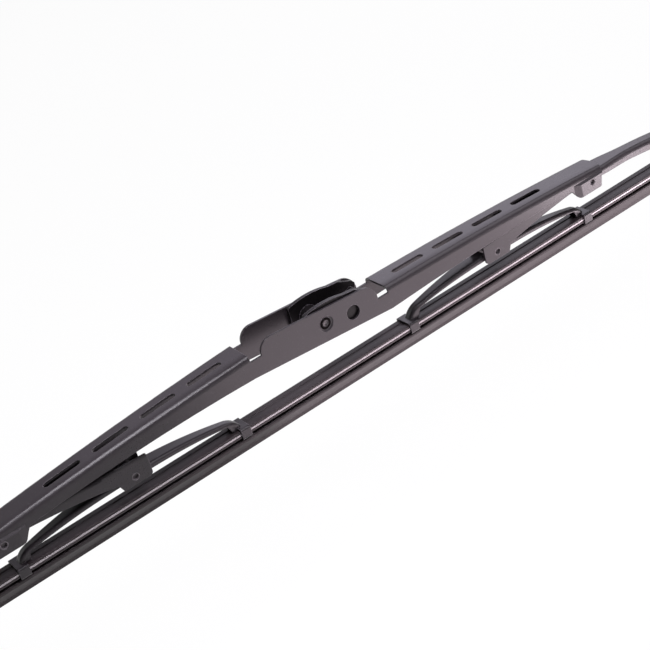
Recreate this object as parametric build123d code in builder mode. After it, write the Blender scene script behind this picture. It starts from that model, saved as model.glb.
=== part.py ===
"""Conventional metal-frame windscreen wiper blade, in millimetres.

A pressed-steel bridge carries two levers, each lever carries a yoke, and the six
claws of levers and yokes hold a rubber strip that two steel splines keep straight.
Origin: middle of the wiper-arm pin. +X runs along the blade, +Z away from the glass.
Side outlines are drawn as (x, z), with x from the middle of the blade and z from the lip.
"""

import os

from build123d import *

os.makedirs("parts", exist_ok=True)

# Rubber strip and its splines
rubber_height = 12.0
head_width = 8.0
head_height = 3.2
back_groove_width = 2.2
back_groove_depth = 0.35
hinge_width = 1.6
hinge_height = 1.6
shoulder_width = 6.2
shoulder_height = 1.3
lip_width = 0.9
lip_height = 1.6
tip_overhang = 22.0
spline_width = 2.6
spline_thickness = 0.9
spline_cover = 1.1
spline_fit = 0.05
spline_setback = 2.5

# Spacing of the claws and pivots along the blade
claw_inner_x = 43.3
yoke_inner_reach = 48.5
yoke_outer_reach = 51.9
lever_inner_reach = 55.2
lever_outer_reach = 111.0

# Heights of the pivots and webs, each above the one before
yoke_pivot_rise = 9.2
lever_pivot_rise = 6.3
bridge_end_rise = 4.2
left_arm_rise = 10.3
right_arm_rise = 4.7
arm_bow = 0.95

# Bridge
bridge_sheet = 1.0
bend_radius = 2.2
saddle_width = 15.6
bridge_tip_width = 14.0
ear_flare = 1.0
ear_step_margin = 0.2
ear_step_fall = 0.9
ear_end_reach = 8.4
ear_end_slant = 3.8
ear_end_lean = 2.7
ear_lean_rise = 0.7
ear_lean_round = 3.0
ear_back_reach = 8.0
ear_drop = 4.1
ear_corner = 2.0
ear_end_corner = 0.8
ear_shoulder = 2.5
ear_shoulder_fall = 0.25
ear_taper = 6.0
joggle_reach = 10.5
joggle_length = 4.0
end_round = 16.0
arm_depth = 10.0
arm_half_left = 6.8
arm_half_right = 7.3
arm_end_left = 5.4
arm_end_right = 4.7
saddle_left = 33.6
saddle_right = 33.5
relief_width = 5.4
relief_below_bend = 0.4
saddle_ear_left = 3.7
saddle_ear_right = 4.9
saddle_corner_left = 5.4
saddle_corner_right = 7.2
saddle_corner_limit = 0.9
slot_first = 50.2
slot_pitch = 21.84
slot_count = 4
slot_length = 16.2
slot_width = 3.1

# Wiper-arm pin and the spare pin hole
pin_diameter = 5.0
pin_offset = 2.5
pin_rise = 4.9
pin_dimple = 6.8
pin_dimple_depth = 0.55
dimple_slope = 45.0
pin_recess = 0.2
pin_hollow = 3.0
pin_hollow_depth = 2.2
spare_hole_diameter = 6.2
spare_hole_spacing = 13.0
spare_hole_drop = 2.0

# Levers
lever_sheet = 0.9
lever_bend = 2.0
lever_side_gap = 0.4
lever_arm_width = 8.0
lever_top_rise = 2.6
lever_crown = -0.4
lever_inner_drop = 2.0
lever_crest_reach = 3.0
lever_window = 11.0
lever_taper_gap = 0.2
lever_taper = 19.2
lever_ear_end = 7.0
lever_ear_back = 6.0
lever_ear_drop = 3.1
lever_ear_corner = 1.6
lever_ear_round = 1.0
lever_top_corner = 1.3
lever_step_run = 1.5
lever_step_rise = 0.4
lever_neck_run = 5.0
lever_neck_drop = 0.5
lever_wall_bow = 0.55
lever_open_length = 12.5
lever_lobe_drop = 3.3
lever_lobe_reach = 4.0
lever_lobe_round = 2.0
lever_lobe_run = 3.0
lever_arm_depth = 3.6
lever_arm_half = 4.5

# Yokes
yoke_sheet = 0.8
yoke_bend = 1.4
yoke_side_gap = 0.7
yoke_tip_width = 4.6
yoke_apex_rise = 0.8
yoke_apex_shift = 1.2
yoke_radius = 208.0
yoke_inner_run = 6.0
yoke_outer_run = 5.2
yoke_shoulder_depth = 1.5
yoke_depth = 2.3
yoke_lobe = 3.2
yoke_window = 5.0
yoke_side_round = 60.0

# Claws
claw_sheet = 0.65
claw_length = 4.4
claw_fit = 0.15
claw_hook = 1.9
claw_corner = 0.9

# Rivets and bushes
rivet_diameter = 3.2
rivet_hollow = 2.6
rivet_hollow_depth = 1.3
bush_diameter = 4.2
bush_end_gap = 0.3
running_fit = 0.05

# Arm clip
clip_side_gap = 0.3
clip_cheek = 1.7
clip_left = 8.0
clip_right = 24.5
clip_below = 5.8
clip_top = 8.2
clip_heel_drop = 1.1
clip_crest_reach = 0.5
clip_neck_reach = 11.7
clip_neck_drop = 1.5
clip_hump_reach = 16.5
clip_hump_drop = 2.0
clip_tail_back = 1.4
clip_tail_rise = 3.3
clip_nose_rise = 1.7
clip_keel_run = 4.0
clip_keel_dip = 0.6
clip_corner = 1.0
clip_barrel = 8.4
clip_mouth = 3.6
clip_floor = 1.4
clip_seat_reach = 14.9
clip_tongue_width = 6.4
clip_tongue_root = 2.7
clip_tongue_back = 3.5
clip_tongue_rise = 2.0

# Places worked out from the driving dimensions
yoke_pivot_x = claw_inner_x + yoke_inner_reach
claw_middle_x = yoke_pivot_x + yoke_outer_reach
lever_pivot_x = yoke_pivot_x + lever_inner_reach
claw_outer_x = lever_pivot_x + lever_outer_reach
strip_half = claw_outer_x + tip_overhang
bridge_end_x = lever_pivot_x + ear_end_reach
yoke_pivot_z = rubber_height + yoke_pivot_rise
yoke_apex_x = yoke_pivot_x + yoke_apex_shift
yoke_apex_z = yoke_pivot_z + yoke_apex_rise
lever_pivot_z = yoke_pivot_z + lever_pivot_rise
web_end_z = lever_pivot_z + bridge_end_rise
web_left_z = web_end_z + left_arm_rise
web_right_z = web_end_z + right_arm_rise
pin_z = web_end_z + pin_rise
lever_width = bridge_tip_width - 2 * bridge_sheet - 2 * lever_side_gap
yoke_width = lever_width - 2 * lever_sheet - 2 * yoke_side_gap
clip_width = saddle_width - 2 * bridge_sheet - 2 * clip_side_gap
head_bottom = rubber_height - head_height
relief_depth = bend_radius + relief_below_bend
claw_seat = rubber_height + claw_fit
claw_top = claw_seat + claw_sheet
neck_x = lever_pivot_x - ear_back_reach - ear_taper
joggle_start = lever_pivot_x - joggle_reach
joggle_end = joggle_start + joggle_length
ear_width = bridge_tip_width + 2 * ear_flare
ear_step_z = lever_pivot_z + rivet_diameter / 2 + ear_step_margin
taper_start = bridge_end_x + lever_taper_gap
taper_end = taper_start + lever_taper
far = 2 * strip_half


def side_plane(y=0.0):
    """Plane of a side outline at distance y, looking from the front."""
    return Plane(origin=(-pin_offset, y, -pin_z), x_dir=(1, 0, 0), z_dir=(0, -1, 0))


def plan_plane(z=0.0):
    """Plane of an outline seen from above, at height z over the lip."""
    return Plane(origin=(-pin_offset, 0, z - pin_z))


def cross_plane(x=0.0):
    """Plane of a cross-section at distance x from the middle of the blade."""
    return Plane(origin=(x - pin_offset, 0, -pin_z), x_dir=(0, 1, 0), z_dir=(1, 0, 0))


mid_plane = cross_plane()


def write_piece(part, name):
    """Give a finished piece its name and write it."""
    part.label = name
    export_step(part, f"parts/{name}.step")


def web_line(end, drop):
    """Arched web line of one bridge arm, from the saddle to the tip; end is -1 or 1."""
    start_x = end * (saddle_right if end > 0 else saddle_left)
    start_z = web_right_z if end > 0 else web_left_z
    start = (start_x, start_z - drop)
    tip = (end * bridge_end_x, web_end_z - drop)
    middle = ((start[0] + tip[0]) / 2, (start[1] + tip[1]) / 2 + arm_bow)
    return ThreePointArc(start, middle, tip)


def web_height(end, x):
    """Height of the web's top at distance x along one bridge arm."""
    start = saddle_right if end > 0 else saddle_left
    start_z = web_right_z if end > 0 else web_left_z
    share = (x - start) / (bridge_end_x - start)
    return start_z + (web_end_z - start_z) * share + 4 * arm_bow * share * (1 - share)


def bridge_plan(inset):
    """Outline of the bridge seen from above, narrowed on each side by inset."""
    saddle = saddle_width / 2 - inset
    tip = bridge_tip_width / 2 - inset
    with BuildSketch(plan_plane()) as plan:
        with BuildLine():
            Line((-saddle_left, saddle), (saddle_right, saddle))
            for end, start_x in ((1, saddle_right), (-1, saddle_left)):
                narrowing = (saddle - tip) / (bridge_end_x - start_x)
                tail = saddle - narrowing * (strip_half - start_x)
                Polyline((end * start_x, saddle), (end * strip_half, tail), (end * strip_half, 0))
            mirror(about=Plane.XZ)
        make_face()
    return plan.sketch


def bend_edges(block):
    """Long top edges of a blank, where the sheet is bent down."""
    tops = block.faces().filter_by(lambda face: face.normal_at().Z > 0.5)
    return tops.edges().filter_by(Axis.Y, reverse=True)


def bridge_blank(inset):
    """Block with the bridge's rounded top, drawn in all over by inset."""
    with BuildPart() as blank:
        with BuildSketch(side_plane()):
            for end in (-1, 1):
                with BuildLine():
                    web = web_line(end, inset)
                    tail = Line(web @ 1, web @ 1 + (web % 1) * far)
                    Polyline(tail @ 1, ((tail @ 1).X, -far), ((web @ 0).X, -far), web @ 0)
                make_face()
        extrude(amount=saddle_width, both=True)
        extrude(bridge_plan(inset), amount=far, mode=Mode.INTERSECT)
        fillet(bend_edges(blank), bend_radius - inset)
        with BuildSketch(plan_plane()):
            with Locations(((saddle_right - saddle_left) / 2, 0)):
                Rectangle(saddle_right + saddle_left, saddle_width - 2 * inset)
        extrude(amount=far)
        half = bridge_tip_width / 2 - inset
        steps = (
            (half - ear_flare, joggle_start - joggle_length, ear_step_z + 2 * ear_step_fall - inset),
            (half + ear_flare, joggle_end, ear_step_z - inset),
        )
        for end in (-1, 1):
            for way in (-1, 1):
                for y, start_x, top in steps:
                    with BuildSketch(side_plane(way * y)):
                        with Locations((end * (start_x + strip_half) / 2, top / 2)):
                            Rectangle(strip_half - start_x, top)
                loft(ruled=True)
    return blank.part


def arm_lower_edge(end):
    """Lower edge of one arm's wall, with the ear that holds the lever rivet."""
    start_x = saddle_right if end > 0 else saddle_left
    start_z = web_height(end, start_x) - arm_depth
    half_x = (start_x + neck_x) / 2
    half_z = web_height(end, half_x) - (arm_half_right if end > 0 else arm_half_left)
    neck_z = web_height(end, neck_x) - (arm_end_right if end > 0 else arm_end_left)
    ear_z = lever_pivot_z - ear_drop
    arc = ThreePointArc((end * start_x, start_z), (end * half_x, half_z), (end * neck_x, neck_z))
    FilletPolyline(
        (end * neck_x, neck_z),
        (end * (neck_x + ear_shoulder), neck_z - ear_shoulder_fall),
        (end * (lever_pivot_x - ear_back_reach), ear_z),
        (end * (bridge_end_x - ear_end_slant), ear_z),
        (end * (bridge_end_x - ear_end_lean), lever_pivot_z + ear_lean_rise),
        (end * bridge_end_x, web_end_z),
        radius=(ear_shoulder / 2, ear_corner, ear_end_corner, ear_lean_round),
    )
    return arc


# Bridge: one pressed channel with slotted arms and an open saddle for the clip
with BuildPart() as bridge:
    add(bridge_blank(0))
    with BuildSketch(side_plane()) as outline:
        with BuildLine():
            right = web_line(1, 0)
            left = web_line(-1, 0)
            low_right = arm_lower_edge(1)
            low_left = arm_lower_edge(-1)
            Line(low_left @ 0, low_right @ 0)
            foot_right = saddle_right - relief_width
            foot_left = relief_width - saddle_left
            peak_left = (foot_left, web_left_z + saddle_ear_left)
            peak_right = (foot_right, web_right_z + saddle_ear_right)
            Polyline(
                left @ 0,
                (-saddle_left, web_left_z - relief_depth),
                (foot_left, web_left_z - relief_depth),
                peak_left,
                peak_right,
                (foot_right, web_right_z - relief_depth),
                (saddle_right, web_right_z - relief_depth),
                right @ 0,
            )
        make_face()
        round_left = min(saddle_corner_left, saddle_corner_limit * (saddle_ear_left + relief_depth))
        fillet(outline.vertices().sort_by_distance(peak_left)[0], round_left)
        round_right = min(saddle_corner_right, saddle_ear_right + relief_depth)
        fillet(outline.vertices().sort_by_distance(peak_right)[0], round_right)
    extrude(amount=saddle_width, both=True, mode=Mode.INTERSECT)
    add(bridge_blank(bridge_sheet), mode=Mode.SUBTRACT)
    with BuildSketch(plan_plane(lever_pivot_z + rivet_diameter / 2)):
        for end in (-1, 1):
            for step in range(slot_count):
                with Locations((end * (slot_first + step * slot_pitch), 0)):
                    SlotOverall(slot_length, slot_width)
    extrude(amount=far, mode=Mode.SUBTRACT)
    with BuildSketch(plan_plane()):
        for end in (-1, 1):
            with Locations((end * bridge_end_x, 0)):
                Rectangle(2 * end_round, 2 * ear_width)
            with Locations((end * (bridge_end_x - end_round), 0)):
                Circle(end_round, mode=Mode.SUBTRACT)
    extrude(amount=far, mode=Mode.SUBTRACT)
    with BuildSketch(side_plane()):
        with Locations((pin_offset, pin_z)):
            Circle(pin_diameter / 2)
        with Locations((pin_offset + spare_hole_spacing, pin_z - spare_hole_drop)):
            Circle(spare_hole_diameter / 2)
        with Locations((lever_pivot_x, lever_pivot_z), (-lever_pivot_x, lever_pivot_z)):
            Circle(rivet_diameter / 2)
    extrude(amount=saddle_width, both=True, mode=Mode.SUBTRACT)
    for way in (-1, 1):
        with BuildSketch(side_plane(way * saddle_width / 2)):
            with Locations((pin_offset, pin_z)):
                Circle(pin_dimple / 2)
        extrude(amount=way * pin_dimple_depth, taper=dimple_slope, mode=Mode.SUBTRACT)
write_piece(bridge.part, "bridge")


def pivot_rod(x, z, diameter, length, hollow, hollow_depth):
    """Rivet or pin across the blade with a hollow in each end."""
    with BuildPart() as rod:
        with BuildSketch(side_plane()):
            with Locations((x, z)):
                Circle(diameter / 2)
        extrude(amount=length / 2, both=True)
        for way in (-1, 1):
            with BuildSketch(side_plane(way * length / 2)):
                with Locations((x, z)):
                    Circle(hollow / 2)
            extrude(amount=way * hollow_depth, mode=Mode.SUBTRACT)
    return rod.part


def bush(x, z, length):
    """Plastic bush that turns on a rivet."""
    with BuildPart() as sleeve:
        with BuildSketch(side_plane()):
            with Locations((x, z)):
                Circle(bush_diameter / 2)
                Circle(rivet_diameter / 2 + running_fit, mode=Mode.SUBTRACT)
        extrude(amount=length / 2, both=True)
    return sleeve.part


# Wiper-arm pin across the saddle
pin_length = saddle_width - 2 * pin_recess
arm_pin = pivot_rod(pin_offset, pin_z, pin_diameter, pin_length, pin_hollow, pin_hollow_depth)
write_piece(arm_pin, "arm_pin")


def claw(x):
    """Claw over the rubber's back, hooked into the groove below its head."""
    inside = head_width / 2 + claw_fit
    outside = inside + claw_sheet
    hook_top = head_bottom - claw_fit
    hook_low = hook_top - claw_sheet
    with BuildSketch(cross_plane(x - claw_length / 2)) as section:
        with BuildLine():
            FilletPolyline(
                (0, claw_top),
                (outside, claw_top),
                (outside, hook_low),
                (inside - claw_hook, hook_low),
                radius=claw_corner,
            )
            Polyline(
                (inside - claw_hook, hook_low),
                (inside - claw_hook, hook_top),
                (inside, hook_top),
                (inside, claw_seat),
                (0, claw_seat),
            )
            mirror(about=Plane.YZ)
        make_face()
    extrude(section.sketch, amount=claw_length)


def lever_plan(inset):
    """Outline of the right lever seen from above, narrowed on each side by inset."""
    wide = lever_width / 2 - inset
    slim = lever_arm_width / 2 - inset
    with BuildSketch(plan_plane()) as plan:
        with BuildLine():
            Polyline((0, 0), (0, wide), (taper_start, wide))
            Spline((taper_start, wide), (taper_end, slim), tangents=((1, 0), (1, 0)))
            Polyline((taper_end, slim), (strip_half, slim), (strip_half, 0))
            mirror(about=Plane.XZ)
        make_face()
    return plan.sketch


def lever_top(drop):
    """Upper line of the right lever, from its inner ears to the outer claw."""
    level = lever_pivot_z + lever_top_rise - drop
    crown_x = (yoke_pivot_x + lever_pivot_x) / 2
    inner = ThreePointArc(
        (yoke_pivot_x - lever_ear_end, level - lever_inner_drop),
        (crown_x, level + lever_crown),
        (lever_pivot_x + lever_crest_reach, level),
    )
    outer = TangentArc(inner @ 1, (claw_outer_x, claw_top - drop), tangent=inner % 1)
    return inner, outer


def lever_blank(inset):
    """Block with the right lever's rounded top, drawn in all over by inset."""
    with BuildPart() as blank:
        with BuildSketch(side_plane()):
            with BuildLine():
                inner, outer = lever_top(inset)
                head = Line(inner @ 0, inner @ 0 - (inner % 0) * claw_length)
                tail = Line(outer @ 1, outer @ 1 + (outer % 1) * claw_length)
                Polyline(head @ 1, ((head @ 1).X, 0), ((tail @ 1).X, 0), tail @ 1)
            make_face()
        extrude(amount=lever_width, both=True)
        extrude(lever_plan(inset), amount=far, mode=Mode.INTERSECT)
        fillet(bend_edges(blank), lever_bend - inset)
    return blank.part


# Right lever: channel with ears for the yoke, a pivot lobe and an outer claw
with BuildPart() as lever_right:
    add(lever_blank(0))
    with BuildSketch(side_plane()) as outline:
        with BuildLine():
            inner, outer = lever_top(0)
            ear_low = yoke_pivot_z - lever_ear_drop
            ear_back = yoke_pivot_x + lever_ear_back
            lobe_low = lever_pivot_z - lever_lobe_drop
            lobe_in = lever_pivot_x - lever_lobe_reach
            lobe_out = lever_pivot_x + lever_lobe_reach
            rise_start = (ear_back + lever_step_run, yoke_pivot_z + lever_step_rise)
            rise_end = (lobe_in - lever_neck_run, lever_pivot_z - lever_neck_drop)
            half_x = (rise_start[0] + rise_end[0]) / 2
            half_z = (rise_start[1] + rise_end[1]) / 2 + lever_wall_bow
            FilletPolyline(
                inner @ 0,
                ((inner @ 0).X, ear_low),
                (ear_back, ear_low),
                rise_start,
                radius=(lever_ear_corner, lever_ear_round),
            )
            ThreePointArc(rise_start, (half_x, half_z), rise_end)
            tail = (lobe_out + lever_lobe_run, lever_pivot_z + lever_top_rise - lever_arm_depth)
            FilletPolyline(
                rise_end,
                (lobe_in, lobe_low),
                (lobe_out, lobe_low),
                tail,
                radius=lever_lobe_round,
            )
            tail_half = outer @ 0.5 - Vector(0, lever_arm_half)
            arm_low = ThreePointArc(tail, tail_half, (claw_outer_x - claw_length, claw_seat))
            Polyline(arm_low @ 1, (claw_outer_x, claw_seat), outer @ 1)
        make_face()
        fillet(outline.vertices().sort_by_distance(inner @ 0)[0], lever_top_corner)
    extrude(amount=lever_width, both=True, mode=Mode.INTERSECT)
    add(lever_blank(lever_sheet), mode=Mode.SUBTRACT)
    open_width = lever_width - 2 * lever_sheet
    with BuildSketch(plan_plane(yoke_pivot_z + yoke_lobe)):
        with Locations((yoke_pivot_x, 0)):
            Rectangle(2 * lever_open_length, open_width)
        with Locations((lever_pivot_x, 0)):
            Rectangle(lever_window, open_width)
    extrude(amount=far, mode=Mode.SUBTRACT)
    with BuildSketch(side_plane()):
        with Locations((yoke_pivot_x, yoke_pivot_z)):
            Circle(rivet_diameter / 2)
        with Locations((lever_pivot_x, lever_pivot_z)):
            Circle(bush_diameter / 2)
    extrude(amount=lever_width, both=True, mode=Mode.SUBTRACT)
    claw(claw_outer_x)
with BuildPart() as lever_left:
    mirror(lever_right.part, about=mid_plane)
write_piece(lever_right.part, "lever_right")
write_piece(lever_left.part, "lever_left")


def yoke_plan(inset):
    """Outline of the right yoke seen from above, narrowed on each side by inset."""
    wide = yoke_width / 2 - inset
    slim = yoke_tip_width / 2 - inset
    with BuildSketch(plan_plane()) as plan:
        with BuildLine():
            flat = yoke_window + yoke_lobe
            inner_stop = claw_inner_x - 2 * claw_length
            outer_stop = claw_middle_x + 2 * claw_length
            FilletPolyline(
                (inner_stop, slim),
                (claw_inner_x + claw_length, slim),
                (yoke_pivot_x - flat, wide),
                (yoke_pivot_x + flat, wide),
                (claw_middle_x - claw_length, slim),
                (outer_stop, slim),
                radius=yoke_side_round,
            )
            Line((inner_stop, slim), (inner_stop, 0))
            Line((outer_stop, slim), (outer_stop, 0))
            mirror(about=Plane.XZ)
        make_face()
    return plan.sketch


def yoke_shoulders():
    """Ends of the yoke's arch, each as (x, distance below the apex)."""
    places = []
    for x in (claw_inner_x + yoke_inner_run, claw_middle_x - yoke_outer_run):
        run = x - yoke_apex_x
        places.append((x, yoke_radius - (yoke_radius**2 - run**2) ** 0.5))
    return places


def yoke_top(drop):
    """Arched upper line of the right yoke, from its inner to its outer claw."""
    apex_z = yoke_apex_z - drop
    (inner_x, inner_drop), (outer_x, outer_drop) = yoke_shoulders()
    arch = ThreePointArc(
        (inner_x, apex_z - inner_drop),
        (yoke_apex_x, apex_z),
        (outer_x, apex_z - outer_drop),
    )
    inner = TangentArc(arch @ 0, (claw_inner_x, claw_top - drop), tangent=(arch % 0) * -1)
    outer = TangentArc(arch @ 1, (claw_middle_x, claw_top - drop), tangent=arch % 1)
    return inner, outer


def yoke_blank(inset):
    """Block with the right yoke's rounded top, drawn in all over by inset."""
    with BuildPart() as blank:
        with BuildSketch(side_plane()):
            with BuildLine():
                inner, outer = yoke_top(inset)
                head = Line(inner @ 1, inner @ 1 + (inner % 1) * claw_length)
                tail = Line(outer @ 1, outer @ 1 + (outer % 1) * claw_length)
                Polyline(head @ 1, ((head @ 1).X, 0), ((tail @ 1).X, 0), tail @ 1)
            make_face()
        extrude(amount=yoke_width, both=True)
        extrude(yoke_plan(inset), amount=far, mode=Mode.INTERSECT)
        fillet(bend_edges(blank), yoke_bend - inset)
    return blank.part


# Right yoke: slim arched channel, round pivot lobes and a claw at each end
with BuildPart() as yoke_right:
    add(yoke_blank(0))
    with BuildSketch(side_plane()):
        with BuildLine():
            inner, outer = yoke_top(0)
            (inner_x, inner_drop), (outer_x, outer_drop) = yoke_shoulders()
            wall = ThreePointArc(
                (inner_x, yoke_apex_z - inner_drop - yoke_shoulder_depth),
                (yoke_apex_x, yoke_apex_z - yoke_depth),
                (outer_x, yoke_apex_z - outer_drop - yoke_shoulder_depth),
            )
            inner_stop = claw_inner_x + claw_length
            outer_stop = claw_middle_x - claw_length
            Polyline(wall @ 0, (inner_stop, claw_seat), (claw_inner_x, claw_seat), inner @ 1)
            Polyline(wall @ 1, (outer_stop, claw_seat), (claw_middle_x, claw_seat), outer @ 1)
        make_face()
    extrude(amount=yoke_width, both=True, mode=Mode.INTERSECT)
    add(yoke_blank(yoke_sheet), mode=Mode.SUBTRACT)
    with BuildSketch(plan_plane(claw_top)):
        with Locations((yoke_pivot_x, 0)):
            Rectangle(2 * yoke_window, yoke_width - 2 * yoke_sheet)
    extrude(amount=far, mode=Mode.SUBTRACT)
    for way in (-1, 1):
        with BuildSketch(side_plane(way * yoke_width / 2)):
            with Locations((yoke_pivot_x, yoke_pivot_z)):
                Circle(yoke_lobe)
        extrude(amount=way * yoke_sheet)
    with BuildSketch(side_plane()):
        with Locations((yoke_pivot_x, yoke_pivot_z)):
            Circle(bush_diameter / 2)
    extrude(amount=yoke_width, both=True, mode=Mode.SUBTRACT)
    claw(claw_inner_x)
    claw(claw_middle_x)
with BuildPart() as yoke_left:
    mirror(yoke_right.part, about=mid_plane)
write_piece(yoke_right.part, "yoke_right")
write_piece(yoke_left.part, "yoke_left")

# Rivets and bushes of the four lever pivots
lever_bush_length = bridge_tip_width - 2 * bridge_sheet - 2 * bush_end_gap
yoke_bush_length = lever_width - 2 * lever_sheet - 2 * bush_end_gap
for end, name in ((-1, "left"), (1, "right")):
    lever_place = (end * lever_pivot_x, lever_pivot_z)
    yoke_place = (end * yoke_pivot_x, yoke_pivot_z)
    hollow = (rivet_hollow, rivet_hollow_depth)
    write_piece(pivot_rod(*lever_place, rivet_diameter, ear_width, *hollow), f"lever_rivet_{name}")
    write_piece(pivot_rod(*yoke_place, rivet_diameter, lever_width, *hollow), f"yoke_rivet_{name}")
    write_piece(bush(*lever_place, lever_bush_length), f"lever_bush_{name}")
    write_piece(bush(*yoke_place, yoke_bush_length), f"yoke_bush_{name}")

# Rubber strip: head with spline grooves, hinge, shoulders and lip
spline_top = rubber_height - spline_cover
groove_top = spline_top + spline_fit
groove_low = spline_top - spline_thickness - spline_fit
groove_depth = spline_width + 2 * spline_fit
with BuildPart() as rubber:
    with BuildSketch(cross_plane(-strip_half)):
        with BuildLine():
            shoulder_z = head_bottom - hinge_height
            Polyline(
                (0, rubber_height - back_groove_depth),
                (back_groove_width / 2, rubber_height - back_groove_depth),
                (back_groove_width / 2 + back_groove_depth, rubber_height),
                (head_width / 2, rubber_height),
                (head_width / 2, groove_top),
                (head_width / 2 - groove_depth, groove_top),
                (head_width / 2 - groove_depth, groove_low),
                (head_width / 2, groove_low),
                (head_width / 2, head_bottom),
                (hinge_width / 2, head_bottom),
                (hinge_width / 2, shoulder_z),
                (shoulder_width / 2, shoulder_z),
                (shoulder_width / 2, shoulder_z - shoulder_height),
                (lip_width / 2, lip_height),
                (lip_width / 2, 0),
                (0, 0),
            )
            mirror(about=Plane.YZ)
        make_face()
    extrude(amount=2 * strip_half)
write_piece(rubber.part, "rubber_strip")

# Splines: two flat steel strips in the head's side grooves
for way, name in ((-1, "front"), (1, "back")):
    with BuildPart() as spline:
        with BuildSketch(cross_plane(spline_setback - strip_half)):
            with Locations((way * (head_width - spline_width) / 2, spline_top - spline_thickness / 2)):
                Rectangle(spline_width, spline_thickness)
        extrude(amount=2 * (strip_half - spline_setback))
    write_piece(spline.part, f"spline_{name}")

# Arm clip: two cheeks, a barrel that snaps over the pin, a seat and a locking tongue
with BuildPart() as clip:
    cheek_in = clip_width / 2 - clip_cheek
    left_x = pin_offset - clip_left
    right_x = pin_offset + clip_right
    base_z = pin_z - clip_below
    crest_z = pin_z + clip_top
    nose_z = pin_z + clip_nose_rise
    keel_x = right_x - clip_keel_run
    with BuildSketch(side_plane()) as cheek:
        with BuildLine():
            crest = ThreePointArc(
                (left_x, crest_z - clip_heel_drop),
                (pin_offset + clip_crest_reach, crest_z),
                (pin_offset + clip_neck_reach, crest_z - clip_neck_drop),
            )
            Polyline(
                crest @ 1,
                (pin_offset + clip_hump_reach, crest_z - clip_hump_drop),
                (right_x - clip_tail_back, pin_z + clip_tail_rise),
                (right_x, nose_z),
                (keel_x, base_z + clip_keel_dip),
                (keel_x - clip_keel_run, base_z - clip_keel_dip),
                (left_x, base_z),
                crest @ 0,
            )
        make_face()
        fillet(cheek.vertices(), clip_corner)
    extrude(amount=clip_width / 2, both=True)
    with BuildSketch(side_plane()):
        with Locations((pin_offset, pin_z)):
            Rectangle(far, far)
    extrude(amount=cheek_in, both=True, mode=Mode.SUBTRACT)
    with BuildSketch(side_plane()):
        with Locations((pin_offset, pin_z)):
            Circle(clip_barrel / 2)
        with Locations((pin_offset + clip_seat_reach / 2, pin_z)):
            Rectangle(clip_seat_reach, clip_floor)
    extrude(amount=cheek_in, both=True)
    with BuildSketch(side_plane()):
        with BuildLine():
            tongue = TangentArc(
                (pin_offset + clip_seat_reach - clip_tongue_root, pin_z),
                (right_x - clip_tongue_back, pin_z + clip_tongue_rise),
                tangent=(1, 0),
            )
        trace(tongue, clip_floor)
    extrude(amount=clip_tongue_width / 2, both=True)
    with BuildSketch(side_plane()):
        with Locations((pin_offset, pin_z)):
            Circle(pin_diameter / 2 + running_fit)
        with Locations((pin_offset, pin_z - clip_barrel / 2)):
            Rectangle(clip_mouth, clip_barrel)
    extrude(amount=clip_width, both=True, mode=Mode.SUBTRACT)
write_piece(clip.part, "arm_clip")
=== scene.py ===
"""Looks of a metal-frame wiper blade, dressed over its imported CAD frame."""

import math

import bmesh
import bpy
from mathutils import Matrix, Vector


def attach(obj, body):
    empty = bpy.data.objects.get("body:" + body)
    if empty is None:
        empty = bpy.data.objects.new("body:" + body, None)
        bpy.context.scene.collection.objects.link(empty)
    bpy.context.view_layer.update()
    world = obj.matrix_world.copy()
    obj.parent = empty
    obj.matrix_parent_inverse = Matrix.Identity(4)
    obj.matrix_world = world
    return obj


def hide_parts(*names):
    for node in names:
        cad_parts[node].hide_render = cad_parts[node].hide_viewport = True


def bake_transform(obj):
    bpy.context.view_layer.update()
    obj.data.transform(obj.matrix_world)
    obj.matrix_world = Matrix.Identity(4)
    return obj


MM = 0.001

# Place of the lip under the middle of the blade, in the row frame, in millimetres
MIDDLE_X = -2.5
LIP_Z = -36.6

# Camera, in the row frame: place in millimetres, and the directions right and up in its picture
CAMERA_PLACE = Vector((-234.71, -460.87, 294.1))
CAMERA_RIGHT = Vector((0.7833, -0.5682, -0.2521))
CAMERA_UP = Vector((0.478, 0.2913, 0.8286))
CAMERA_LENS = 83.08
SENSOR = 36.0
# Nearest and farthest that it sees, in metres
VIEW_START = 0.01
VIEW_STOP = 30.0

# Floor: millimetres below the lip, size in metres, and how much of its look is plain white
FLOOR_DROP = 60.0
FLOOR_SIZE = 12.0
FLOOR_TONE = (0.9, 0.9, 0.9, 1)
FLOOR_ROUGH = 0.9
FLOOR_GLOW = 0.95

# Surroundings: white up to the horizon's top, dim from the ceiling on; light is their share as a lamp
WHITE = (1, 1, 1, 1)
WORLD_LIGHT = 0.4
HORIZON_TOP = 0.03
CEILING_START = 0.3
CEILING = 0.2

# Strip: half lengths, where its pieces meet, and further places listed with each piece, in millimetres
# from the middle of the blade
STRIP_HALF = 280.0
SPLINE_HALF = 277.5
RING_STEP = 2.0
MIDDLE_TURN = 1.0
NEAR_STOP = 22.0
INNER_CLAW = 41.0
YOKE_MIDDLE = 92.0
MIDDLE_CLAW = 146.0
OUTER_CLAW = 255.5

# Half section of the rubber, as (distance from the middle, height over the lip, corner radius)
RUBBER_SECTION = (
    (0.0, 11.66, 0.0),
    (1.0, 11.66, 0.12),
    (1.35, 12.0, 0.2),
    (4.0, 11.95, 0.25),
    (4.0, 10.93, 0.06),
    (1.32, 10.93, 0.0),
    (1.32, 9.97, 0.0),
    (4.0, 9.97, 0.12),
    (4.0, 8.8, 0.55),
    (0.8, 8.8, 0.35),
    (0.8, 7.2, 0.35),
    (3.1, 7.2, 0.75),
    (3.1, 5.7, 1.6),
    (0.45, 1.6, 1.1),
    (0.45, 0.0, 0.08),
    (0.0, 0.0, 0.0),
)
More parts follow.
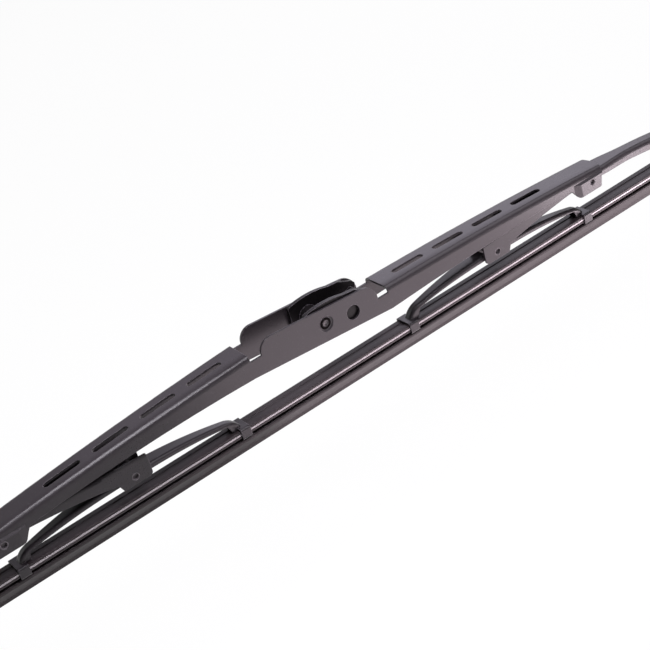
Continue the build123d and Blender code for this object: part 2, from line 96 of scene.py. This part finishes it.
# Section of a spline, as (distance from the middle, height over the lip), and its corner radius
SPLINE_SECTION = ((1.4, 10.88), (4.0, 10.88), (4.0, 10.02), (1.4, 10.02))
SPLINE_ROUND = 0.16
ARC_STEPS = 5

# Arm pin, about the origin of the row frame: half length, radii of the pin and its dish, depths
PIN_HALF = 7.6
PIN_RADIUS = 2.5
PIN_EDGE = 0.35
DISH_RADIUS = 1.75
DISH_DEPTH = 0.8
DISH_STEPS = 7
ROUND_STEPS = 48
# Radii between which painted shade darkens the pin's end towards its rim
RIM_START = 1.15
RIM_STOP = 1.6

# Faces that meet at more than this angle have a sharp edge
SHARP_ANGLE = math.radians(35)

# Colours, as linear shares of red, green and blue
PAINT = (0.022, 0.0182, 0.021)
PAINT_DUST = (0.12, 0.11, 0.115)
# Pale edge colour of the paint: partly worn paint, partly a painted highlight
PAINT_EDGE = (0.15, 0.135, 0.15)
RIVET_STEEL = (0.1, 0.09, 0.095)
SPLINE_STEEL = (0.36, 0.333, 0.343)
RUBBER_DEEP = (0.017, 0.0125, 0.0138)
RUBBER_BLOOM = (0.027, 0.02, 0.0222)
RUBBER_LINES = (0.05, 0.039, 0.042)
CLIP_PLASTIC = (0.009, 0.008, 0.0085)
BUSH_PLASTIC = (0.05, 0.05, 0.052)
# Pale edge colour of the plastic: partly worn, partly a painted highlight
PLASTIC_EDGE = (0.2, 0.18, 0.2)
PIN_DULL = (0.05, 0.043, 0.046)
PIN_BRIGHT = (0.08, 0.07, 0.074)
# Painted shade round the rim of the pin's end
PIN_RIM_SHADE = (0.004, 0.003, 0.003)

# Paint: its tone in and out of its clouds, how much worn edges with a painted highlight and fine grain
# show, and its shine
PAINT_LOW = 0.88
PAINT_HIGH = 1.1
PAINT_WEAR_AND_HIGHLIGHT = 0.6
PAINT_GRAIN = 0.25
PAINT_SHINE = 0.35
# Soft roll of the frame's top towards its near edge: where it starts, and its curve per metre
ROLL_START = 2.0
ROLL_GAIN = 18.75

# Splines: tone between the drawn lines, how metallic they are, roughness and its spread
STEEL_LOW = 0.88
STEEL_METAL = 0.35
STEEL_ROUGH = 0.42
STEEL_SPREAD = 0.05

# Rubber: how much its drawn lines and its fine grain show, and its shine
LINES_SHARE = 0.3
RUBBER_GRAIN = 0.3
RUBBER_SHINE = 0.27

# Plastic: tone in its clouds, how much pale edges show (worn, with a painted highlight), shine, and
# roughness with its spread
PLASTIC_LOW = 0.8
PLASTIC_WEAR_AND_HIGHLIGHT = 0.8
PLASTIC_SHINE = 0.14
CLIP_ROUGH = 0.28
BUSH_ROUGH = 0.5
PLASTIC_SMOOTHER = 0.04
PLASTIC_ROUGHER = 0.08

# Samples of the nodes that look at a point's surroundings
SAMPLES = 6


def row(x, y, z):
    """Point in the row frame, in metres, of a point from the middle of the blade and the lip."""
    return Vector((x + MIDDLE_X, y, z + LIP_Z)) * MM


def shaded(tone, share):
    """Colour with every part scaled by a share."""
    return tuple(share * value for value in tone)


def linked(name, data):
    """New object of the scene."""
    item = bpy.data.objects.new(name, data)
    bpy.context.scene.collection.objects.link(item)
    return item


class Graph:
    """Adds and joins the nodes of a material or of the world."""

    def __init__(self, owner):
        owner.use_nodes = True
        self.tree = owner.node_tree

    def add(self, kind, settings=None, **inputs):
        """New node; an input is given as a number, a colour or another node's output."""
        node = self.tree.nodes.new(kind)
        for key, value in (settings or {}).items():
            setattr(node, key, value)
        for key, value in inputs.items():
            self.put(node.inputs[key.replace("_", " ")], value)
        return node

    def put(self, socket, value):
        """Set an input, or join it to an output."""
        if isinstance(value, bpy.types.NodeSocket):
            self.tree.links.new(value, socket)
        else:
            socket.default_value = value

    def ramp(self, value, low, high, to_low=0.0, to_high=1.0, kind="LINEAR"):
        """Value stretched from low..high to to_low..to_high, and clamped."""
        node = self.add("ShaderNodeMapRange", {"interpolation_type": kind}, Value=value)
        self.put(node.inputs["From Min"], low)
        self.put(node.inputs["From Max"], high)
        self.put(node.inputs["To Min"], to_low)
        self.put(node.inputs["To Max"], to_high)
        return node.outputs[0]

    def math(self, kind, first, second=0.0):
        """Result of one operation on two values."""
        node = self.add("ShaderNodeMath", {"operation": kind})
        self.put(node.inputs[0], first)
        self.put(node.inputs[1], second)
        return node.outputs[0]

    def plus(self, first, second):
        """Sum of two values."""
        return self.math("ADD", first, second)

    def times(self, first, second):
        """Product of two values."""
        return self.math("MULTIPLY", first, second)

    def mix(self, share, first, second):
        """Colour between two colours."""
        node = self.add("ShaderNodeMix", {"data_type": "RGBA"})
        self.put(node.inputs["Factor"], share)
        colors = [socket for socket in node.inputs if socket.type == "RGBA"]
        for socket, value in zip(colors, (first, second)):
            self.put(socket, value if isinstance(value, bpy.types.NodeSocket) else (*value, 1))
        return [socket for socket in node.outputs if socket.type == "RGBA"][0]

    def seen(self):
        """1 for what the camera sees, also in mirrors and through glass, and 0 for other light."""
        path = self.add("ShaderNodeLightPath").outputs
        mirrored = self.math("MAXIMUM", path["Is Camera Ray"], path["Is Glossy Ray"])
        return self.math("MAXIMUM", mirrored, path["Is Transmission Ray"])


class Surface(Graph):
    """Material of a piece, with patterns over the piece's own place; lengths are in millimetres."""

    def __init__(self, name):
        self.material = bpy.data.materials.new(name)
        super().__init__(self.material)
        self.shader = self.tree.nodes["Principled BSDF"]
        self.place = self.add("ShaderNodeTexCoord").outputs["Object"]

    def finish(self, **inputs):
        """Set the shader's own inputs."""
        for key, value in inputs.items():
            self.put(self.shader.inputs[key.replace("_", " ")], value)

    def noise(self, scale, detail=3.0, stretch=(1, 1, 1), rough=0.5):
        """Noise with so many waves in a metre, stretched by a share per axis."""
        mapping = self.add("ShaderNodeMapping", Vector=self.place, Scale=stretch)
        noise = self.add(
            "ShaderNodeTexNoise",
            Vector=mapping.outputs[0],
            Scale=scale,
            Detail=detail,
            Roughness=rough,
        )
        return noise.outputs["Fac"]

    def soft_normal(self, radius):
        """Normal of the surface with its edges rounded."""
        return self.add("ShaderNodeBevel", {"samples": SAMPLES}, Radius=radius * MM).outputs[0]

    def edges(self, radius, low, high):
        """Mask of the piece's sharp edges, from how far a rounded normal leaves the true one."""
        dot = self.add("ShaderNodeVectorMath", {"operation": "DOT_PRODUCT"})
        self.put(dot.inputs[0], self.soft_normal(radius))
        self.put(dot.inputs[1], self.add("ShaderNodeNewGeometry").outputs["Normal"])
        return self.ramp(dot.outputs["Value"], high, low)

    def shelter(self, reach, low, high):
        """Value that falls from 1 in the open to 0 in corners and channels."""
        node = self.add("ShaderNodeAmbientOcclusion", {"samples": SAMPLES}, Distance=reach * MM)
        return self.ramp(node.outputs["AO"], low, high)

    def near_roll(self):
        """Relief, in metres, that falls away towards the near edge of the frame's top."""
        y = self.add("ShaderNodeSeparateXYZ", Vector=self.place).outputs["Y"]
        near = self.math("MAXIMUM", self.math("SUBTRACT", -ROLL_START * MM, y), 0.0)
        return self.times(self.times(near, near), -ROLL_GAIN)

    def bump(self, height, strength, distance, radius, roll=None):
        """Fine relief over softened edges, joined to the shader; roll is a larger relief in metres."""
        normal = self.soft_normal(radius)
        if roll is not None:
            rolled = self.add("ShaderNodeBump", Height=roll, Strength=1.0, Distance=1.0, Normal=normal)
            normal = rolled.outputs[0]
        fine = self.add(
            "ShaderNodeBump",
            Height=height,
            Strength=strength,
            Distance=distance * MM,
            Normal=normal,
        )
        self.put(self.shader.inputs["Normal"], fine.outputs[0])


def paint_material(name, tone, dust, channel_shade):
    """Satin stove paint on pressed steel, with orange peel, dust, worn edges that carry a painted
    highlight, and shade painted darker and less shiny in channels.
    """
    surface = Surface(name)
    cloud = surface.noise(scale=28.0, detail=4.0, stretch=(0.6, 1, 1))
    peel = surface.noise(scale=620.0, detail=2.0)
    grain = surface.noise(scale=2600.0, detail=2.0)
    speck = surface.ramp(surface.noise(scale=1500.0, detail=0.0), low=0.74, high=0.8)
    # Pale edges: patchy worn paint, and a painted highlight where edges catch light
    edges = surface.edges(radius=0.3, low=0.86, high=0.985)
    wear_and_highlight = surface.times(edges, surface.ramp(cloud, low=0.2, high=0.65))
    clouded = surface.ramp(cloud, low=0.3, high=0.7)
    color = surface.mix(clouded, shaded(tone, PAINT_LOW), shaded(tone, PAINT_HIGH))
    color = surface.mix(surface.times(speck, dust), color, PAINT_DUST)
    color = surface.mix(surface.times(wear_and_highlight, PAINT_WEAR_AND_HIGHLIGHT), color, PAINT_EDGE)
    # Painted shade: ambient occlusion darkens the colour in channels and corners
    unshaded = surface.shelter(reach=11.0, low=0.12, high=0.55)
    color = surface.mix(unshaded, shaded(tone, 1 - channel_shade), color)
    cloud_rough = surface.ramp(cloud, low=0.25, high=0.75, to_low=0.28, to_high=0.34)
    grain_rough = surface.ramp(grain, low=0.3, high=0.7, to_low=-0.03, to_high=0.04)
    shine = PAINT_SHINE
    # Painted shade also dims the shine in channels and corners
    if channel_shade > 0:
        shine_share = surface.ramp(unshaded, low=0.0, high=1.0, to_low=1 - channel_shade, to_high=1.0)
        shine = surface.times(shine_share, PAINT_SHINE)
    surface.finish(
        Base_Color=color,
        Roughness=surface.plus(cloud_rough, grain_rough),
        Specular_IOR_Level=shine,
    )
    height = surface.plus(peel, surface.times(grain, PAINT_GRAIN))
    surface.bump(height, strength=0.25, distance=0.02, radius=0.3, roll=surface.near_roll())
    return surface.material


def spline_material():
    """Zinc-plated drawn steel with fine lines along the blade."""
    surface = Surface("spline_steel")
    lines = surface.noise(scale=700.0, stretch=(0.01, 1, 1))
    cloud = surface.noise(scale=30.0, stretch=(0.3, 1, 1))
    drawn = surface.ramp(lines, low=0.3, high=0.7)
    rough = surface.ramp(
        cloud,
        low=0.3,
        high=0.7,
        to_low=STEEL_ROUGH - STEEL_SPREAD,
        to_high=STEEL_ROUGH + STEEL_SPREAD,
    )
    surface.finish(
        Base_Color=surface.mix(drawn, shaded(SPLINE_STEEL, STEEL_LOW), SPLINE_STEEL),
        Metallic=STEEL_METAL,
        Roughness=rough,
    )
    return surface.material


def rubber_material():
    """Extruded wiping rubber with drawn lines along the blade and a dry bloom."""
    surface = Surface("wiping_rubber")
    lines = surface.noise(scale=1500.0, detail=4.0, stretch=(0.004, 1, 1), rough=0.6)
    bloom = surface.noise(scale=60.0, detail=5.0, stretch=(0.2, 1, 1))
    grain = surface.noise(scale=3200.0, detail=2.0)
    color = surface.mix(surface.ramp(bloom, low=0.3, high=0.75), RUBBER_DEEP, RUBBER_BLOOM)
    drawn = surface.times(surface.ramp(lines, low=0.5, high=0.75), LINES_SHARE)
    bloom_rough = surface.ramp(bloom, low=0.3, high=0.7, to_low=0.42, to_high=0.5)
    lines_rough = surface.ramp(lines, low=0.3, high=0.7, to_low=-0.04, to_high=0.04)
    surface.finish(
        Base_Color=surface.mix(drawn, color, RUBBER_LINES),
        Roughness=surface.plus(bloom_rough, lines_rough),
        Specular_IOR_Level=RUBBER_SHINE,
    )
    height = surface.plus(lines, surface.times(grain, RUBBER_GRAIN))
    surface.bump(height, strength=0.2, distance=0.02, radius=0.05)
    return surface.material


def plastic_material(name, tone, rough):
    """Moulded plastic with a fine spark-eroded grain, pale edges that are worn and carry a painted
    highlight, and painted shade that dulls its hollows.
    """
    surface = Surface(name)
    grain = surface.noise(scale=1900.0)
    cloud = surface.noise(scale=55.0)
    clouded = surface.ramp(cloud, low=0.3, high=0.7)
    color = surface.mix(clouded, shaded(tone, PLASTIC_LOW), tone)
    # Pale edges: worn, and a painted highlight along every edge
    wear_and_highlight = surface.times(surface.edges(radius=0.35, low=0.84, high=0.98), PLASTIC_WEAR_AND_HIGHLIGHT)
    cloud_rough = surface.ramp(
        cloud,
        low=0.3,
        high=0.7,
        to_low=rough - PLASTIC_SMOOTHER,
        to_high=rough + PLASTIC_ROUGHER,
    )
    # Painted shade: the shine fades in hollows and corners, after ambient occlusion
    unshaded = surface.shelter(reach=16.0, low=0.2, high=0.75)
    surface.finish(
        Base_Color=surface.mix(wear_and_highlight, color, PLASTIC_EDGE),
        Roughness=cloud_rough,
        Specular_IOR_Level=surface.times(unshaded, PLASTIC_SHINE),
    )
    surface.bump(grain, strength=0.25, distance=0.02, radius=0.25)
    return surface.material


def pin_material():
    """Pressed steel pin, bare and bright in its dish, with shade painted dark and dull round its rim.
    """
    surface = Surface("pin_steel")
    parts = surface.add("ShaderNodeSeparateXYZ", Vector=surface.place).outputs
    width = surface.times(parts["X"], parts["X"])
    height = surface.times(parts["Z"], parts["Z"])
    radius = surface.math("SQRT", surface.plus(width, height))
    # Painted shade: the end turns dark and dull towards its rim
    rim = surface.ramp(radius, low=RIM_START * MM, high=RIM_STOP * MM)
    cloud = surface.noise(scale=900.0)
    bright = surface.mix(surface.ramp(cloud, low=0.3, high=0.7), PIN_DULL, PIN_BRIGHT)
    surface.finish(
        Base_Color=surface.mix(rim, bright, PIN_RIM_SHADE),
        Metallic=surface.ramp(rim, low=0.0, high=1.0, to_low=0.3, to_high=0.0),
        Roughness=surface.ramp(cloud, low=0.3, high=0.7, to_low=0.24, to_high=0.32),
        Specular_IOR_Level=surface.ramp(rim, low=0.0, high=1.0, to_low=0.5, to_high=0.02),
    )
    surface.bump(cloud, strength=0.2, distance=0.02, radius=0.1)
    return surface.material


def rounded(corners, closed):
    """Points of an outline with each corner rounded by its own radius."""
    points = []
    count = len(corners)
    for index, (x, y, radius) in enumerate(corners):
        here = Vector((x, y))
        ends = not closed and index in (0, count - 1)
        if radius <= 0 or ends:
            points.append(here)
            continue
        before = (Vector(corners[index - 1][:2]) - here).normalized()
        after = (Vector(corners[(index + 1) % count][:2]) - here).normalized()
        half = before.angle(after) / 2
        reach = radius / math.tan(half)
        centre = here + (before + after).normalized() * (radius / math.sin(half))
        first = here + before * reach - centre
        last = here + after * reach - centre
        sweep = first.angle_signed(last)
        for step in range(ARC_STEPS + 1):
            turn = Matrix.Rotation(-sweep * step / ARC_STEPS, 2)
            points.append(centre + turn @ first)
    return points


def finished(name, build):
    """Piece of the scene from a mesh in the making, with its sharp edges marked."""
    bmesh.ops.recalc_face_normals(build, faces=build.faces)
    for edge in build.edges:
        edge.smooth = edge.calc_face_angle(0.0) < SHARP_ANGLE
    mesh = bpy.data.meshes.new(name)
    build.to_mesh(mesh)
    build.free()
    return linked(name, mesh)


def swept(name, section, start, stop):
    """Closed section drawn along the blade from start to stop, with capped ends."""
    build = bmesh.new()
    steps = max(2, round(abs(stop - start) / RING_STEP))
    rings = []
    for step in range(steps + 1):
        x = start + (stop - start) * step / steps
        rings.append([build.verts.new(row(x, y, z)) for y, z in section])
    count = len(section)
    for first, second in zip(rings, rings[1:]):
        for index in range(count):
            after = (index + 1) % count
            face = build.faces.new((first[index], first[after], second[after], second[index]))
            face.smooth = True
    build.faces.new(rings[0])
    build.faces.new(list(reversed(rings[-1])))
    return finished(name, build)


def strip_sections(rubber, steel):
    """Rubber and splines: name, node that each replaces, section, half length, material and slot."""
    half = [tuple(spot) for spot in rounded(RUBBER_SECTION, closed=False)]
    whole = half + [(-y, z) for y, z in reversed(half[1:-1])]
    bar = rounded([(*spot, SPLINE_ROUND) for spot in SPLINE_SECTION], closed=True)
    sections = [("rubber", "rubber_strip", whole, STRIP_HALF, rubber, "wiping_rubber")]
    for way, name in ((-1, "spline_front"), (1, "spline_back")):
        outline = [(way * y, z) for y, z in bar]
        sections.append((name, name, outline, SPLINE_HALF, steel, "spline_steel"))
    return sections


def strip_spans(side_name):
    """Pieces of half the strip: name, ends, two bodies, and a stretch along the blade listed with
    each.
    """
    lever = f"lever_{side_name}"
    yoke = f"yoke_{side_name}"
    return (
        ("middle", 0.0, NEAR_STOP, "bridge", lever, MIDDLE_TURN, NEAR_STOP),
        ("inner", NEAR_STOP, YOKE_MIDDLE, lever, yoke, NEAR_STOP, INNER_CLAW),
        ("outer", YOKE_MIDDLE, STRIP_HALF, yoke, lever, MIDDLE_CLAW, OUTER_CLAW),
    )


def make_strip(rubber, steel):
    """Rubber and splines as straight pieces along each half of the blade, in place of the CAD strip.
    """
    sections = strip_sections(rubber, steel)
    for side, side_name in ((-1, "left"), (1, "right")):
        for span, start, stop, first, second, turn_start, turn_stop in strip_spans(side_name):
            for kind, node, outline, half, material, slot in sections:
                reach = min(stop, half)
                piece = swept(f"{kind}_{span}_{side_name}", outline, side * start, side * reach)
                piece.data.materials.append(material)
                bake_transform(piece)
                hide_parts(node)


def make_pin():
    """Arm pin with a rounded dish in each end instead of a plain hollow."""
    profile = []
    for step in range(DISH_STEPS + 1):
        share = step / DISH_STEPS
        profile.append((DISH_RADIUS * share, PIN_HALF - DISH_DEPTH * (1 - share * share)))
    profile.append((PIN_RADIUS - PIN_EDGE, PIN_HALF))
    profile.append((PIN_RADIUS, PIN_HALF - PIN_EDGE))
    profile += [(radius, -place) for radius, place in reversed(profile)]
    build = bmesh.new()
    rings = []
    for radius, place in profile:
        if radius == 0:
            rings.append([build.verts.new((0, place * MM, 0))] * ROUND_STEPS)
            continue
        ring = []
        for step in range(ROUND_STEPS):
            angle = 2 * math.pi * step / ROUND_STEPS
            spot = Vector((radius * math.cos(angle), place, radius * math.sin(angle)))
            ring.append(build.verts.new(spot * MM))
        rings.append(ring)
    for first, second in zip(rings, rings[1:]):
        for step in range(ROUND_STEPS):
            after = (step + 1) % ROUND_STEPS
            corners = dict.fromkeys((first[step], first[after], second[after], second[step]))
            build.faces.new(tuple(corners)).smooth = True
    piece = finished("pin_dished", build)
    piece.data.materials.append(pin_material())
    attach(piece, "bridge")
    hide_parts("arm_pin")


def dress_nodes(nodes, paint, rivet, clip, bush):
    """Give every CAD node its material."""
    for name, node in nodes.items():
        material = paint
        if "rivet" in name or name == "arm_pin":
            material = rivet
        elif "bush" in name:
            material = bush
        elif name == "arm_clip":
            material = clip
        node.data.materials.clear()
        node.data.materials.append(material)


def make_camera():
    """Camera at the photograph's viewing angle."""
    data = bpy.data.cameras.new("camera")
    data.lens = CAMERA_LENS
    data.sensor_width = SENSOR
    data.clip_start = VIEW_START
    data.clip_end = VIEW_STOP
    camera = linked("camera", data)
    right = CAMERA_RIGHT.normalized()
    back = right.cross(CAMERA_UP).normalized()
    up = back.cross(right)
    turn = Matrix((right, up, back)).transposed().to_4x4()
    camera.matrix_world = Matrix.Translation(CAMERA_PLACE * MM) @ turn
    bpy.context.scene.camera = camera


def make_world():
    """Surroundings white at the horizon and dim above; the light that they shed is plain."""
    world = bpy.data.worlds.new("studio")
    bpy.context.scene.world = world
    graph = Graph(world)
    level = graph.ramp(graph.seen(), low=0.0, high=1.0, to_low=WORLD_LIGHT, to_high=1.0)
    way = graph.add("ShaderNodeTexCoord").outputs["Generated"]
    rise = graph.add("ShaderNodeSeparateXYZ", Vector=way).outputs["Z"]
    dim = graph.ramp(rise, HORIZON_TOP, CEILING_START, to_low=1.0, to_high=CEILING, kind="SMOOTHSTEP")
    background = graph.tree.nodes["Background"]
    graph.put(background.inputs["Color"], WHITE)
    graph.put(background.inputs["Strength"], graph.times(level, dim))


def make_floor():
    """Pale floor some way below the lip, which keeps a soft shadow."""
    mesh = bpy.data.meshes.new("floor")
    half = FLOOR_SIZE / 2
    level = (LIP_Z - FLOOR_DROP) * MM
    corners = [(-half, -half, level), (half, -half, level), (half, half, level), (-half, half, level)]
    mesh.from_pydata(corners, [], [(0, 1, 2, 3)])
    floor = linked("floor", mesh)
    material = bpy.data.materials.new("floor")
    graph = Graph(material)
    shader = graph.tree.nodes["Principled BSDF"]
    graph.put(shader.inputs["Base Color"], FLOOR_TONE)
    graph.put(shader.inputs["Roughness"], FLOOR_ROUGH)
    graph.put(shader.inputs["Specular IOR Level"], 0.0)
    glow = graph.add("ShaderNodeEmission")
    share = graph.times(graph.seen(), FLOOR_GLOW)
    mixed = graph.add("ShaderNodeMixShader")
    for socket, value in zip(mixed.inputs, (share, shader.outputs[0], glow.outputs[0])):
        graph.put(socket, value)
    graph.put(graph.tree.nodes["Material Output"].inputs["Surface"], mixed.outputs[0])
    mesh.materials.append(material)


def make_lamp(name, place, aim, power, size, color, turn=0.0):
    """Soft lamp in the row frame, in metres and watts; turn is about its own axis, in degrees."""
    data = bpy.data.lights.new(name, "AREA")
    data.energy = power
    data.shape = "RECTANGLE"
    data.size, data.size_y = size
    data.color = color
    lamp = linked(name, data)
    lamp.location = place
    facing = (Vector(aim) - Vector(place)).to_track_quat("-Z", "Y").to_matrix()
    lamp.rotation_euler = (facing @ Matrix.Rotation(math.radians(turn), 3, "Z")).to_euler()
    lamp.visible_camera = False


def make_lamps():
    """Soft studio light, each lamp with the part of the look that it makes."""
    # Sheen of the tops right of the saddle
    make_lamp(
        "back",
        place=(0.57, 0.63, 0.42),
        aim=(0.08, 0, 0),
        power=1.75,
        size=(0.55, 0.45),
        color=(0.91, 0.86, 1),
    )
    # Panel that lies on the floor, for the near walls and the rubber's flank
    make_lamp(
        "below",
        place=(0.15, -0.13, -0.09),
        aim=(0.15, -0.13, 0),
        power=0.62,
        size=(0.32, 0.27),
        color=(1, 0.82, 0.9),
    )
    # Smaller panel on the floor, for the ear at the right
    make_lamp(
        "sheen",
        place=(0.275, -0.15, -0.09),
        aim=(0.275, -0.15, 0),
        power=0.65,
        size=(0.11, 0.14),
        color=(1, 0.86, 0.93),
    )
    # Bends of the frame right of the saddle
    make_lamp(
        "front",
        place=(0.45, -0.22, 0.6),
        aim=(0.05, 0, 0),
        power=3.0,
        size=(0.8, 0.5),
        color=(0.97, 0.92, 1),
    )
    # Bright line along the bend left of the saddle
    make_lamp(
        "over",
        place=(-0.02, -0.14, 0.45),
        aim=(-0.02, -0.14, 0),
        power=3.4,
        size=(0.12, 0.52),
        color=(0.96, 0.92, 1),
        turn=22,
    )
    # Sheen of the tops left of the saddle, which fades towards the left
    make_lamp(
        "sky",
        place=(0.2, 0.95, 0.68),
        aim=(-0.05, 0, 0),
        power=0.5,
        size=(0.4, 0.3),
        color=(0.93, 0.84, 1),
    )
    # Far side
    make_lamp(
        "fill",
        place=(-0.5, 0.9, 0.5),
        aim=(0, 0, 0),
        power=1.0,
        size=(0.6, 0.6),
        color=(1, 1, 1),
    )


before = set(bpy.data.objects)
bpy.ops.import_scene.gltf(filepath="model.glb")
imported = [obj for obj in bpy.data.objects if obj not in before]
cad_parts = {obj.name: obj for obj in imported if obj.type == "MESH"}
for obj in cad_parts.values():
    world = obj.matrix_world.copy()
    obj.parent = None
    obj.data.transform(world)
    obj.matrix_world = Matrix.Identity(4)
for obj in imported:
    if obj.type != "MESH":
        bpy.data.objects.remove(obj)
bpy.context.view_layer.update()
make_camera()
make_world()
make_floor()
make_lamps()

# The frame paint has shade painted into its channels; the rivets have none
dress_nodes(
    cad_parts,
    paint=paint_material("frame_paint", PAINT, dust=0.12, channel_shade=0.5),
    rivet=paint_material("rivet_steel", RIVET_STEEL, dust=0.08, channel_shade=0.0),
    clip=plastic_material("clip_plastic", CLIP_PLASTIC, CLIP_ROUGH),
    bush=plastic_material("bush_plastic", BUSH_PLASTIC, BUSH_ROUGH),
)
make_strip(rubber_material(), spline_material())
make_pin()

bpy.context.scene.view_settings.view_transform = "Standard"
